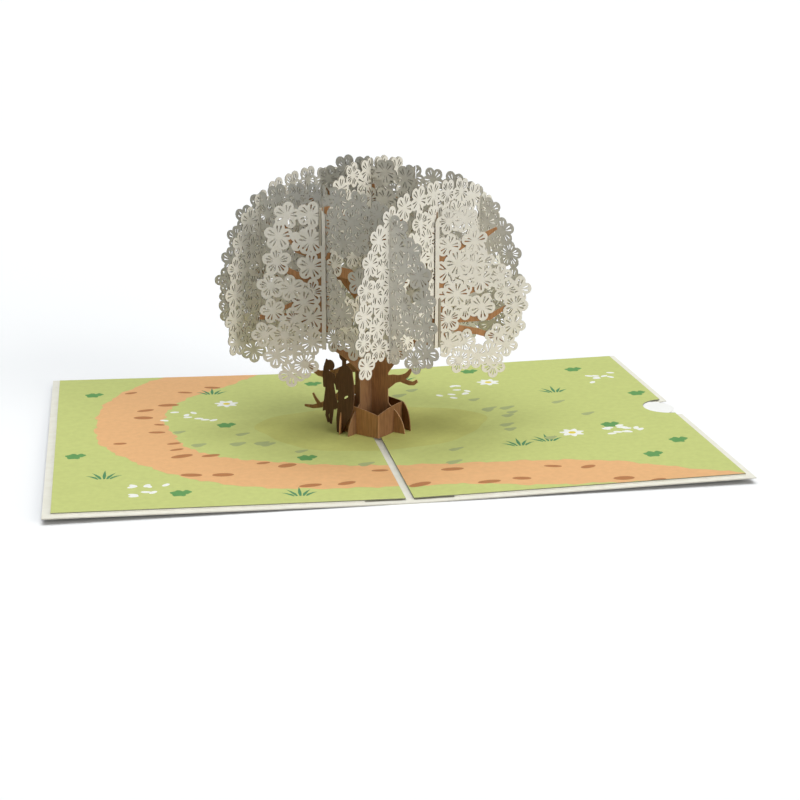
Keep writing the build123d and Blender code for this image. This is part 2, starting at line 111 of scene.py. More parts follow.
class Nodes:
    """The nodes of a material or a world, with short calls to add and join them."""

    def __init__(self, tree: bpy.types.NodeTree) -> None:
        """Keeps the tree that the calls work on."""
        self.tree = tree

    def add(self, kind: str, settings: dict | None = None, **inputs: object) -> bpy.types.Node:
        """Adds a node.

        Args:
            kind: The node's type, as Blender names it.
            settings: Attributes of the node itself.
            inputs: Values or sockets for its inputs, with spaces in their names written as underscores.

        Returns:
            The new node.
        """
        node = self.tree.nodes.new(kind)
        for key, value in (settings or {}).items():
            setattr(node, key, value)
        for key, value in inputs.items():
            self.feed(node, int(key[1:]) if key[0] == "_" else key.replace("_", " "), value)
        return node

    def feed(self, node: bpy.types.Node, key: object, value: object) -> None:
        """Sets one input of a node to a value, or joins it to a socket.

        Args:
            node: The node.
            key: The input's name or number.
            value: A value or a socket.
        """
        if isinstance(value, bpy.types.NodeSocket):
            self.tree.links.new(value, node.inputs[key])
        else:
            node.inputs[key].default_value = value

    def math(self, operation: str, *values: object) -> bpy.types.NodeSocket:
        """Adds a step of arithmetic and returns its socket."""
        inputs = {f"_{key}": value for key, value in enumerate(values)}
        return self.add("ShaderNodeMath", {"operation": operation}, **inputs).outputs[0]

    def blend(self, share: object, low: object, high: object, kind: str = "MIX") -> bpy.types.NodeSocket:
        """Mixes two colours and returns the mixed colour's socket."""
        settings = {"data_type": "RGBA", "blend_type": kind}
        return self.add("ShaderNodeMix", settings, _0=share, _6=low, _7=high).outputs[2]

    def scale(self, value: object, source: Pair, target: Pair = (0.0, 1.0)) -> bpy.types.NodeSocket:
        """Maps a range of a value onto another range.

        Args:
            value: A value or a socket.
            source: The range that is mapped.
            target: The range it becomes.

        Returns:
            The socket of the mapped value.
        """
        (low, high), (to_low, to_high) = source, target
        ends = {"From_Min": low, "From_Max": high, "To_Min": to_low, "To_Max": to_high}
        return self.add("ShaderNodeMapRange", None, Value=value, **ends).outputs[0]

    def noise(self, where: object, per_metre: float, detail: float = 2.0) -> bpy.types.NodeSocket:
        """Adds a noise pattern and returns the socket of its grey value."""
        return self.add("ShaderNodeTexNoise", None, Vector=where, Scale=per_metre, Detail=detail).outputs[0]

    def place(self, stretch: Triple = (1, 1, 1)) -> bpy.types.NodeSocket:
        """Returns the socket of the piece's own coordinates, in metres, stretched as asked."""
        where = self.add("ShaderNodeTexCoord").outputs["Object"]
        return self.add("ShaderNodeMapping", None, Vector=where, Scale=stretch).outputs[0]

    def along(self, vector: object, axis: Triple) -> bpy.types.NodeSocket:
        """Returns the socket of a vector's length along an axis, without its sign."""
        node = self.add("ShaderNodeVectorMath", {"operation": "DOT_PRODUCT"}, _0=vector, _1=axis)
        return self.math("ABSOLUTE", node.outputs["Value"])

    def attribute(self, name: str, output: str) -> bpy.types.NodeSocket:
        """Returns a socket of one of the mesh's attributes."""
        return self.add("ShaderNodeAttribute", {"attribute_name": name}).outputs[output]


class Shader(Nodes):
    """A new material that starts with a Principled shader and nothing else."""

    def __init__(self, name: str) -> None:
        """Makes the material.

        Args:
            name: The material's name.
        """
        self.material = bpy.data.materials.new(name)
        self.material.use_nodes = True
        super().__init__(self.material.node_tree)
        self.surface = self.tree.nodes["Principled BSDF"]

    def finish(self, colour: object, grain: object, touch: Touch) -> bpy.types.Material:
        """Gives the surface a colour, and a roughness and a bump that follow a grain.

        Args:
            colour: Socket of the colour.
            grain: Socket of a noise pattern.
            touch: How the surface feels.

        Returns:
            The material.
        """
        self.feed(self.surface, "Base Color", colour)
        self.feed(self.surface, "Roughness", self.scale(grain, (0.3, 0.7), touch.roughness))
        self.surface.inputs["Specular IOR Level"].default_value = touch.specular
        bump = self.add("ShaderNodeBump", None, Height=grain, Strength=touch.bump, Distance=touch.depth)
        self.feed(self.surface, "Normal", bump.outputs[0])
        return self.material


@dataclass(frozen=True)
class PaperFinish:
    """Matt paper or card: a base colour, faint mottling, fibres, and the colour of its cut edges."""

    name: str
    colour: Colour
    mottled: Colour
    edge: Colour
    fibre_per_metre: float = 2600.0
    mottle_per_metre: float = 260.0
    mottle_range: Pair = (0.35, 0.7)
    touch: Touch = Touch((0.73, 0.86), 0.25, 0.18, 0.00006)

    def material(self) -> bpy.types.Material:
        """Makes the material. The attribute named cut is 1 on the walls of a cut sheet.

        Returns:
            The new material.
        """
        shader = Shader(self.name)
        where = shader.place()
        fibre = shader.noise(where, self.fibre_per_metre, detail=4.0)
        mottle = shader.scale(shader.noise(where, self.mottle_per_metre, detail=3.0), self.mottle_range)
        paper = shader.blend(mottle, self.colour, self.mottled)
        card = shader.blend(shader.attribute("cut", "Fac"), paper, self.edge)
        return shader.finish(card, fibre, self.touch)


@dataclass(frozen=True)
class GrainedCardFinish:
    """Brown card printed with a fine upright grain, whose cut edges show the lighter core.

    A painted shade darkens the card where its coordinate on the shade axis is on the first side of a step.
    The ends of a sheet can be cream, past a distance from the tree's middle and above a height.
    """

    name: str
    colour: Colour
    streak: Colour
    edge: Colour
    face_normal: Triple
    upright_edges: bool = True
    tip_along: Triple | None = None
    tip_from: float = 0.0310
    tip_height: float = 0.037
    tip_colour: Colour = linear(206, 200, 184)
    # Painted shade: a darker colour multiplied into the card on one side of a step along an axis.
    painted_shade: Colour | None = None
    shade_axis: int = 2
    shade_step: Pair = (0.042, 0.056)
    grain_stretch: Triple = (1.0, 1.0, 0.12)
    streaks_per_metre: float = 1500.0
    streak_range: Pair = (0.38, 0.66)
    speckles_per_metre: float = 2400.0
    upright_steps: tuple[Pair, Pair] = ((0.3, 0.6), (1.0, 0.0))
    flat_steps: tuple[Pair, Pair] = ((0.4, 0.7), (0.0, 1.0))
    sharp: float = 0.0001
    touch: Touch = Touch((0.66, 0.82), 0.3, 0.25, 0.00008)

    def material(self) -> bpy.types.Material:
        """Makes the material. A face that is square to the sheet counts as a cut edge.

        Returns:
            The new material.
        """
        shader = Shader(self.name)
        streaks = shader.noise(shader.place(self.grain_stretch), self.streaks_per_metre, detail=3.0)
        speckle = shader.noise(shader.place(), self.speckles_per_metre, detail=4.0)
        card = shader.blend(shader.scale(streaks, self.streak_range), self.colour, self.streak)
        where = shader.add("ShaderNodeSeparateXYZ", None, Vector=shader.place()).outputs
        # Painted shade: on the first side of the step the card is multiplied by the darker colour, as if
        # shaded.
        if self.painted_shade:
            share = shader.scale(where[self.shade_axis], self.shade_step, (1.0, 0.0))
            card = shader.blend(share, card, self.painted_shade, "MULTIPLY")
        level = shader.along(shader.add("ShaderNodeNewGeometry").outputs["Normal"], self.face_normal)
        steps = self.upright_steps if self.upright_edges else self.flat_steps
        card = shader.blend(shader.scale(level, *steps), card, self.edge)
        if self.tip_along:
            reach = shader.along(shader.place(), self.tip_along)
            beyond = shader.scale(reach, (self.tip_from, self.tip_from + self.sharp))
            high = shader.scale(where[2], (self.tip_height, self.tip_height + self.sharp))
            card = shader.blend(shader.math("MULTIPLY", beyond, high), card, self.tip_colour)
        return shader.finish(card, speckle, self.touch)


@dataclass(frozen=True)
class PrintFinish:
    """Ink on matt card: the colour comes from the attribute named ink, with a faint press mottle."""

    name: str
    edge: Colour
    fibre_per_metre: float = 2600.0
    mottle_per_metre: float = 420.0
    mottle_range: Pair = (0.3, 0.7)
    mottle_share: Pair = (0.955, 1.03)
    touch: Touch = Touch((0.6, 0.72), 0.3, 0.12, 0.00005)

    def material(self) -> bpy.types.Material:
        """Makes the material. The attribute named cut is 1 on the walls of a cut sheet.

        Returns:
            The new material.
        """
        shader = Shader(self.name)
        where = shader.place()
        fibre = shader.noise(where, self.fibre_per_metre, detail=3.0)
        speckle = shader.noise(where, self.mottle_per_metre, detail=4.0)
        mottle = shader.scale(speckle, self.mottle_range, self.mottle_share)
        ink = shader.attribute("ink", "Color")
        dull = shader.add("ShaderNodeVectorMath", {"operation": "SCALE"}, _0=ink, Scale=mottle).outputs[0]
        # The walls take the edge colour, which on the lawn is dark grey painted shade for the shadow line
        # along its edges.
        card = shader.blend(shader.attribute("cut", "Fac"), dull, self.edge)
        return shader.finish(card, fibre, self.touch)


# Flat cut sheets


@dataclass(frozen=True)
class SheetPlane:
    """Where a flat sheet stands or lies: its zero point and its two directions."""

    origin: Triple
    along: Triple
    up: Triple

    def points(self, flat: np.ndarray, depth: float) -> np.ndarray:
        """Places flat points in the card's frame.

        A point is the origin, plus its first coordinate along the sheet, plus its second up the
        sheet, plus the depth along the cross product of the two directions.

        Args:
            flat: Points on the sheet, one row each.
            depth: Distance out of the sheet.

        Returns:
            The points in metres, one row each.
        """
        along, up = np.array(self.along), np.array(self.up)
        out = np.cross(along, up)
        placed = np.array(self.origin) + flat[:, :1] * along + flat[:, 1:] * up + depth * out
        return placed * MM


def standing(x: float, y: float, heading: float) -> SheetPlane:
    """The plane of a sheet that stands on the table, along a heading in radians."""
    return SheetPlane((x, y, 0.0), (math.cos(heading), math.sin(heading), 0.0), (0.0, 0.0, 1.0))


@dataclass
class Tiling:
    """Triangles of a flat drawing, and which drawn shapes cover each of them."""

    points: np.ndarray
    triangles: np.ndarray
    covers: list[list[int]]


def turned_left(shape: np.ndarray) -> np.ndarray:
    """Puts an outline's points in counterclockwise order.

    The area is half the sum of the cross products of each point and the next one. Its sign tells
    the order.

    Args:
        shape: Outline, one row per point.

    Returns:
        The outline as it was, or in the opposite order.
    """
    ahead = np.roll(shape, -1, axis=0)
    area = (shape[:, 0] * ahead[:, 1] - ahead[:, 0] * shape[:, 1]).sum()
    return shape if area > 0 else shape[::-1]


def tile(shapes: list[np.ndarray]) -> Tiling:
    """Cuts a drawing of overlapping outlines into triangles.

    Args:
        shapes: Outlines, each as rows of points.

    Returns:
        The triangles inside at least one outline, with the outlines that cover each.
    """
    shapes = [turned_left(shape) for shape in shapes]
    ends = np.cumsum([len(shape) for shape in shapes])
    starts = ends - [len(shape) for shape in shapes]
    rings = [list(range(a, b)) for a, b in zip(starts, ends)]
    corners = [Vector(pair) for pair in np.concatenate(shapes).tolist()]
    points, _, triangles, _, _, covers = delaunay_2d_cdt(corners, [], rings, INSIDE_ONLY, WELD, True)
    return Tiling(np.array([tuple(p) for p in points]), np.array(triangles), covers)


def largest_patch(triangles: np.ndarray, points: np.ndarray) -> np.ndarray:
    """Keeps the triangles of the largest connected patch.

    Each point starts with its own number, and each triangle gives all its points the least number
    among them, until nothing changes. The number with the most area wins.

    Args:
        triangles: Rows of three point numbers.
        points: The flat points.

    Returns:
        The rows that are kept.
    """
    label = np.arange(len(points))
    while True:
        least = label[triangles].min(axis=1)
        fresh = label.copy()
        np.minimum.at(fresh, triangles.ravel(), np.repeat(least, 3))
        fresh = fresh[fresh]
        if (fresh == label).all():
            break
        label = fresh
    a, b, c = (points[triangles[:, k]] for k in range(3))
    one, two = b - a, c - a
    area = np.abs(one[:, 0] * two[:, 1] - one[:, 1] * two[:, 0]) / 2
    patch = label[triangles[:, 0]]
    return triangles[patch == np.bincount(patch, area).argmax()]


def rims(triangles: np.ndarray) -> np.ndarray:
    """Finds the edges that only one triangle has.

    Each edge gets a number from its two ends in order. It is a rim if no edge has the number of its
    ends in the opposite order.

    Args:
        triangles: Rows of three point numbers, all turning the same way.

    Returns:
        The edges, as rows of two point numbers, in their triangle's direction.
    """
    edges = np.concatenate([triangles[:, [0, 1]], triangles[:, [1, 2]], triangles[:, [2, 0]]])
    keys = edges[:, 0].astype(np.int64) * (edges.max() + 1) + edges[:, 1]
    back = edges[:, 1].astype(np.int64) * (edges.max() + 1) + edges[:, 0]
    return edges[~np.isin(keys, back)]


def new_object(name: str, mesh: bpy.types.Mesh) -> bpy.types.Object:
    """Puts a mesh into the scene as a named object at the origin.

    Args:
        name: The object's name.
        mesh: Its mesh.

    Returns:
        The new object.
    """
    piece = bpy.data.objects.new(name, mesh)
    bpy.context.scene.collection.objects.link(piece)
    return piece


def sheet_mesh(name: str, plane: SheetPlane, points: np.ndarray, triangles: np.ndarray,
               low: float, high: float) -> bpy.types.Mesh:
    """Makes a sheet with a front, a back and walls round each hole and outline.

    The front lies at the upper depth and the back at the lower one. A wall stands on each edge
    that only one triangle has. The attribute named cut is 1 on the walls.

    Args:
        name: The mesh's name.
        plane: Where the sheet is.
        points: Flat points of the sheet.
        triangles: Rows of three point numbers, all turning the same way.
        low: Depth of the back.
        high: Depth of the front.

    Returns:
        The mesh. Its first faces are the front's, in the order of the triangles.
    """
    used, triangles = np.unique(triangles, return_inverse=True)
    triangles = triangles.reshape(-1, 3)
    points = points[used]
    count = len(points)
    edges = rims(triangles)
    front, back = triangles, triangles[:, ::-1] + count
    walls = np.stack([edges[:, 0], edges[:, 0] + count, edges[:, 1] + count, edges[:, 1]], axis=1)
    coords = np.concatenate([plane.points(points, high), plane.points(points, low)])
    corners = np.concatenate([front.ravel(), back.ravel(), walls.ravel()])
    totals = np.concatenate([np.full(2 * len(triangles), 3), np.full(len(walls), 4)])
    mesh = bpy.data.meshes.new(name)
    mesh.vertices.add(len(coords))
    mesh.vertices.foreach_set("co", coords.astype(np.float32).ravel())
    mesh.loops.add(len(corners))
    mesh.loops.foreach_set("vertex_index", corners.astype(np.int32))
    mesh.polygons.add(len(totals))
    mesh.polygons.foreach_set("loop_start", (np.cumsum(totals) - totals).astype(np.int32))
    cut = mesh.attributes.new("cut", "FLOAT", "FACE")
    on_wall = np.repeat([0.0, 1.0], [2 * len(triangles), len(walls)])
    cut.data.foreach_set("value", on_wall.astype(np.float32))
    mesh.update(calc_edges=True)
    mesh.validate()
    mesh.shade_flat()
    return mesh


def rectangle(low: Pair, high: Pair) -> np.ndarray:
    """The four corners of an upright rectangle."""
    return np.array([(low[0], low[1]), (high[0], low[1]), (high[0], high[1]), (low[0], high[1])], float)


def walk(path: np.ndarray, count: int) -> np.ndarray:
    """Takes points evenly along a closed path: each lies at an equal share of its length.

    Args:
        path: The path's corners, one row each.
        count: Number of points.

    Returns:
        The points, one row each.
    """
    ring = np.vstack([path, path[:1]])
    steps = np.hypot(*np.diff(ring, axis=0).T)
    runs = np.concatenate([[0], np.cumsum(steps)])
    wanted = np.arange(count) / count * runs[-1]
    return np.stack([np.interp(wanted, runs, ring[:, k]) for k in range(2)], axis=1)


def path_length(path: np.ndarray) -> float:
    """Length of a closed path."""
    return float(np.hypot(*(np.roll(path, -1, axis=0) - path).T).sum())


def inside(points: np.ndarray, path: np.ndarray) -> np.ndarray:
    """Tells which points lie inside a closed path: those with an odd number of its edges to their right.

    Args:
        points: Points, one row each.
        path: The path's corners, one row each.

    Returns:
        True or false for each point.
    """
    a, b = path, np.roll(path, -1, axis=0)
    x, y = points[:, :1], points[:, 1:]
    spans = (a[:, 1] > y) != (b[:, 1] > y)
    rise = np.where(b[:, 1] == a[:, 1], 1.0, b[:, 1] - a[:, 1])
    right = x < a[:, 0] + (y - a[:, 1]) / rise * (b[:, 0] - a[:, 0])
    return (spans & right).sum(axis=1) % 2 == 1


def distance(points: np.ndarray, path: np.ndarray) -> np.ndarray:
    """Measures how far points are from a closed path, as the least distance over its edges.

    The nearest point of an edge is at the share of the edge where the line to the point is square
    to it, held between nought and one.

    Args:
        points: Points, one row each.
        path: The path's corners, one row each.

    Returns:
        The distance of each point.
    """
    a, b = path, np.roll(path, -1, axis=0)
    along = b - a
    away = points[:, None] - a
    share = ((away * along).sum(axis=2) / np.maximum((along ** 2).sum(axis=1), 1e-9)).clip(0, 1)
    return np.hypot(*np.moveaxis(away - share[..., None] * along, 2, 0)).min(axis=1)


# Blossoms


@dataclass(frozen=True)
class Blossom:
    """A cut blossom: five round petals, slots that run out from its middle, and outline cuts.

    The sizes are for a blossom whose petals reach 1 from its middle.
    """

    petals: int = 5
    petal_at: float = 0.60
    petal_radius: float = 0.405
    arc_points: int = 8
    slot_from: float = 0.23
    slot_to: float = 0.78
    slot_width: float = 0.13
    slot_runs: tuple[float, ...] = (0.0, 0.55, 0.9, 1.0, 0.9, 0.55)
    slot_halves: tuple[float, ...] = (0.0, 0.36, 0.42, 0.0, -0.42, -0.36)
    pair_spread: float = 0.399
    trio_spread: float = 0.315
    outer_share: float = 0.84
    rim_gap: float = 0.035
    rim_cut: float = 0.095
    rim_span: Pair = (0.14, 0.40)
    rim_swell: tuple[float, ...] = (0.15, 0.9, 1.0, 0.2)

    def reach(self, turn: np.ndarray) -> np.ndarray:
        """Measures from the middle to the edge of the nearest petal.

        The edge of a petal is a circle about a point on the petal's own axis.

        Args:
            turn: Angles from the first petal.

        Returns:
            The distance at each angle.
        """
        step = 2 * math.pi / self.petals
        off = (np.asarray(turn) + step / 2) % step - step / 2
        return self.petal_at * np.cos(off) + np.sqrt(
            np.maximum(self.petal_radius ** 2 - (self.petal_at * np.sin(off)) ** 2, 0)
        )

    def outline(self) -> np.ndarray:
        """Draws the blossom's outer edge, from notch to notch.

        Returns:
            The outline, one row per point.
        """
        turn = np.arange(self.petals * self.arc_points) / (self.petals * self.arc_points) * 2 * math.pi
        turn = turn + math.pi / self.petals
        reach = self.reach(turn)
        return np.stack([reach * np.cos(turn), reach * np.sin(turn)], axis=1)

    def slots(self, per_petal: int) -> np.ndarray:
        """Draws teardrop slots, with a sharp inner end and the greatest width near the outer end.

        Args:
            per_petal: Number of slots on each petal, two or three.

        Returns:
            The slots, one outline each.
        """
        length = self.slot_to - self.slot_from
        along = np.array(self.slot_runs)
        width = np.array(self.slot_halves) * self.slot_width
        spread = self.pair_spread if per_petal == 2 else self.trio_spread
        rows = []
        for petal in range(self.petals):
            for k in range(per_petal):
                turn = petal * 2 * math.pi / self.petals + (k - (per_petal - 1) / 2) * spread
                share = 1.0 if per_petal == 2 or k == 1 else self.outer_share
                run = self.slot_from + along * length * share
                rows.append(np.stack([run * math.cos(turn) - width * math.sin(turn),
                                      run * math.sin(turn) + width * math.cos(turn)], axis=1))
        return np.array(rows)

    def rim_cuts(self) -> np.ndarray:
        """Draws thin crescents just outside the petals, two to a petal.

        Returns:
            The crescents, one outline each.
        """
        step = 2 * math.pi / self.petals
        rows = []
        for petal in range(self.petals):
            for side in (-1, 1):
                turn = np.linspace(*self.rim_span, len(self.rim_swell)) * step * side
                inner = self.reach(turn) + self.rim_gap
                bulge = np.array(self.rim_swell) * self.rim_cut
                turns = np.concatenate([turn, turn[::-1]]) + petal * step
                radii = np.concatenate([inner, (inner + bulge)[::-1]])
                rows.append(np.stack([radii * np.cos(turns), radii * np.sin(turns)], axis=1))
        return np.array(rows)


@dataclass
class BlossomField:
    """Many blossoms that overlap on one sheet, each with a place, a size, a turn and a rank.

    A blossom of higher rank lies over those of lower rank: where it does, they have no cuts, but a
    slot may run a little way under its rim.
    """

    rim: np.ndarray
    seed: int
    windows: tuple[tuple[float, ...], ...] = ()
    lines: tuple[float, ...] = ()
    blossom: Blossom = field(default_factory=Blossom)
    radius: float = 5.3
    rim_pitch: float = 9.6
    rim_turn_deg: float = 137.5
    inner_pitch: float = 8.0
    jitter: float = 0.7
    size_spread: float = 0.09
    meet_reach: float = 2.4
    trio_every: int = 3
    inner_margin: float = 4.2
    slot_margin: float = 0.5
    cover_margin: float = 0.12
    window_margin: float = 4.6
    line_margin: float = 0.7

    def away_from_windows(self, points: np.ndarray) -> np.ndarray:
        """Tells which points leave every window open: those outside an ellipse a margin larger than it.

        Args:
            points: Points, one row each.

        Returns:
            True or false for each point.
        """
        free = np.full(len(points), True)
        for s, z, length, width, turn in self.windows:
            spin = np.exp(-1j * math.radians(turn))
            away = (points[:, 0] - s + 1j * (points[:, 1] - z)) * spin
            long, wide = length / 2 + self.window_margin, width / 2 + self.window_margin
            free &= (away.real / long) ** 2 + (away.imag / wide) ** 2 > 1
        return free

    def strips(self) -> list[np.ndarray]:
        """Draws plain strips where other sheets cross, from the lower rim to the upper one.

        The ends of a strip are where its line crosses the rim.

        Returns:
            The strips, one outline each.
        """
        a, b = self.rim, np.roll(self.rim, -1, axis=0)
        found = []
        for line in self.lines:
            spans = (a[:, 0] > line) != (b[:, 0] > line)
            share = (line - a[spans, 0]) / (b[spans, 0] - a[spans, 0])
            heights = a[spans, 1] + share * (b[spans, 1] - a[spans, 1])
            low, high = line - self.line_margin, line + self.line_margin
            found.append(rectangle((low, heights.min()), (high, heights.max())))
        return found

    def scatter(self) -> tuple[np.ndarray, np.ndarray, np.ndarray]:
        """Chooses the blossoms' middles, radii and turns.

        Some stand evenly along the rim, and the rest on a shaken triangular grid inside it.

        Returns:
            The middles, the radii and the turns, in order of rank.
        """
        random = np.random.default_rng(self.seed)
        count = round(path_length(self.rim) / self.rim_pitch)
        on_rim = walk(self.rim, count)
        low, high = self.rim.min(axis=0), self.rim.max(axis=0)
        columns = np.arange(low[0], high[0] + self.inner_pitch, self.inner_pitch)
        rows = np.arange(low[1], high[1] + self.inner_pitch, self.inner_pitch * math.sqrt(0.75))
        grid_x, grid_y = np.meshgrid(columns, rows)
        grid_x = grid_x + (np.arange(len(rows)) % 2)[:, None] * self.inner_pitch / 2
        grid = np.stack([grid_x.ravel(), grid_y.ravel()], axis=1)
        grid = grid + random.uniform(-self.jitter, self.jitter, grid.shape)
        grid = grid[inside(grid, self.rim) & (distance(grid, self.rim) > self.inner_margin)]
        grid = grid[self.away_from_windows(grid)]
        middles = np.concatenate([on_rim, grid])
        radii = self.radius * random.uniform(1 - self.size_spread, 1 + self.size_spread, len(middles))
        turns = random.uniform(0, 2 * math.pi, len(middles))
        turns[:count] = np.radians(np.arange(count) * self.rim_turn_deg + 180 / self.blossom.petals)
        order = random.permutation(len(middles))
        return middles[order], radii[order], turns[order]

    def drawing(self) -> tuple[list[np.ndarray], list[np.ndarray]]:
        """Draws the sheet.

        Returns:
            The outlines that are paper, and the outlines that are cut out of it.
        """
        middles, radii, turns = self.scatter()
        cos, sin = np.cos(turns), np.sin(turns)
        spin = np.stack([np.stack([cos, sin], axis=1), np.stack([-sin, cos], axis=1)], axis=1)

        def place(shapes: np.ndarray, k: int) -> np.ndarray:
            """Turns, sizes and moves shapes to a blossom's place."""
            return shapes @ spin[k] * radii[k] + middles[k]

        def depth_in(points: np.ndarray, k: int) -> np.ndarray:
            """Measures how far points lie inside a blossom's edge.

            Args:
                points: Points, one row each.
                k: The blossom's rank.

            Returns:
                The depth of each point, less than nought outside.
            """
            away = points - middles[k]
            reach = self.blossom.reach(np.arctan2(away[:, 1], away[:, 0]) - turns[k]) * radii[k]
            return reach - np.hypot(away[:, 0], away[:, 1])

        outlines = [place(self.blossom.outline(), k) for k in range(len(middles))]
        styles = {2: self.blossom.slots(2), 3: self.blossom.slots(3)}
        cuts = []
        apart = np.hypot(*(middles[:, None] - middles[None]).transpose(2, 0, 1))
        for k in range(len(middles)):
            close = apart[k] < self.meet_reach * self.radius
            above = [j for j in range(k + 1, len(middles)) if close[j]]
            below = [j for j in range(k) if close[j]]
            own = place(styles[2 if k % self.trio_every else 3], k)
            edge = place(self.blossom.rim_cuts(), k)
            for shape in own:
                if all((depth_in(shape, j) < self.slot_margin).all() for j in above):
                    cuts.append(shape)
            for shape in edge:
                free = all((depth_in(shape, j) < -self.cover_margin).all() for j in above)
                if free and any((depth_in(shape, j) > self.cover_margin).all() for j in below):
                    cuts.append(shape)
        return outlines, cuts


@dataclass
class CutSheet:
    """A blossom sheet: where it is, what is drawn on it, and the slots through it."""

    name: str
    plane: SheetPlane
    field_of: BlossomField
    notches: list[np.ndarray]
    thickness: float = 0.30
    patch: list[np.ndarray] = field(default_factory=list)

    def build(self, material: bpy.types.Material) -> bpy.types.Object:
        """Cuts the sheet and puts it in the place of its solid.

        Args:
            material: The paper.

        Returns:
            The new piece.
        """
        paper, cuts = self.field_of.drawing()
        strips = self.field_of.strips() + self.patch
        tiling = tile(paper + cuts + strips + self.notches)
        first_cut = len(paper)
        first_strip = first_cut + len(cuts)
        first_notch = first_strip + len(strips)
        top = np.array([max(owners, default=first_notch) for owners in tiling.covers])
        keep = (top < first_cut) | ((top >= first_strip) & (top < first_notch))
        kept = largest_patch(tiling.triangles[keep], tiling.points)
        half = self.thickness / 2
        mesh = sheet_mesh(self.name, self.plane, tiling.points, kept, -half, half)
        mesh.materials.append(material)
        piece = new_object(self.name + "_paper", mesh)
        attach(piece, "root")
        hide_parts(self.name)
        LOG.info("%s: %d faces", piece.name, len(mesh.polygons))
        return piece


# Outlines and windows of the cream sheets, which are those of the solids. An outline is the run of
# blossom middles round a sheet. A window is a place, a length, a width and a turn.

OUTER_DROOPS = {
    "front_left": [
        (46.5, 40.5), (37, 42.5), (27, 46), (14, 43), (2, 45), (-10, 46), (-24, 44), (-36, 45), (-44, 43),
    ],
    "front_right": [
        (44, 46), (34, 40), (22, 44), (10, 41), (0, 43), (-14, 47), (-26, 43), (-37, 46), (-45, 40.5),
    ],
    "back_left": [(44, 45), (33, 43), (20, 47), (6, 44), (-8, 46), (-22, 44), (-34, 44), (-46, 41)],
    "back_right": [(44, 42), (34, 43), (20, 46), (8, 44), (-8, 47), (-20, 43), (-34, 44), (-44, 45)],
}
OUTER_WINDOWS = {
    "front_left": (
        (-14, 84, 7, 4, 60), (-23, 66, 6, 4, 20), (10, 74, 6, 3, 120), (18, 58, 6, 4, 30),
        (24, 80, 5, 3, 80),
    ),
    "front_right": (
        (-21, 85, 6, 4, 100), (-12, 62, 7, 4, 30), (12, 82, 7, 4, 20), (18, 60, 6, 4, 140),
        (37, 66, 6, 4, 50),
    ),
    "back_left": ((-20, 78, 7, 4, 40), (-10, 60, 6, 4, 120), (14, 84, 7, 4, 70), (22, 64, 6, 4, 10)),
    "back_right": ((-16, 86, 6, 4, 20), (-22, 62, 7, 4, 80), (12, 66, 6, 4, 130), (20, 84, 7, 4, 50)),
}
CROWN_DROOP = [(18, 45), (11, 38), (2, 44), (-8, 39), (-17, 44)]
CROWN_WINDOWS = {
    Family.A: (
        (-20, 86, 7, 4, 30), (-13, 64, 7, 5, 110), (14, 90, 6, 4, 70), (20, 66, 7, 4, 10),
        (9, 54, 6, 4, 50),
    ),
    Family.B: (
        (-18, 92, 7, 4, 80), (-21, 62, 6, 5, 20), (12, 84, 7, 4, 130), (20, 70, 6, 4, 60),
        (-9, 56, 6, 4, 30),
    ),
}
SPRAY_RIMS = {
    "long": [
        (3.6, 87.6), (8.6, 91), (13.6, 81.6), (15.1, 72.6), (22, 67), (29, 62), (35, 57), (28, 50.5),
        (31.8, 42.8), (26.5, 37), (22, 29.6), (16.5, 35), (11.5, 31), (3.6, 36.4),
    ],
    "short": [
        (3.6, 91.6), (9.6, 93.6), (16, 88.6), (15, 78), (19, 66), (17.5, 57), (21.5, 46), (19, 39),
        (13.5, 36), (10.5, 28.4), (6.4, 34.6), (3.6, 37.6),
    ],
}
SPRAY_WINDOWS = {
    "long": (
        (7.6, 78.6, 6, 4, 30), (14.4, 45.6, 16, 5, -12), (11.6, 59.6, 5, 3, 20), (22.6, 56.6, 5, 4, 60),
    ),
    "short": (
        (11.6, 85.6, 6, 4, 110), (6.6, 73.6, 6, 4, 60), (9.6, 67.6, 8, 3, 0), (11.6, 57.6, 7, 3, 50),
    ),
}


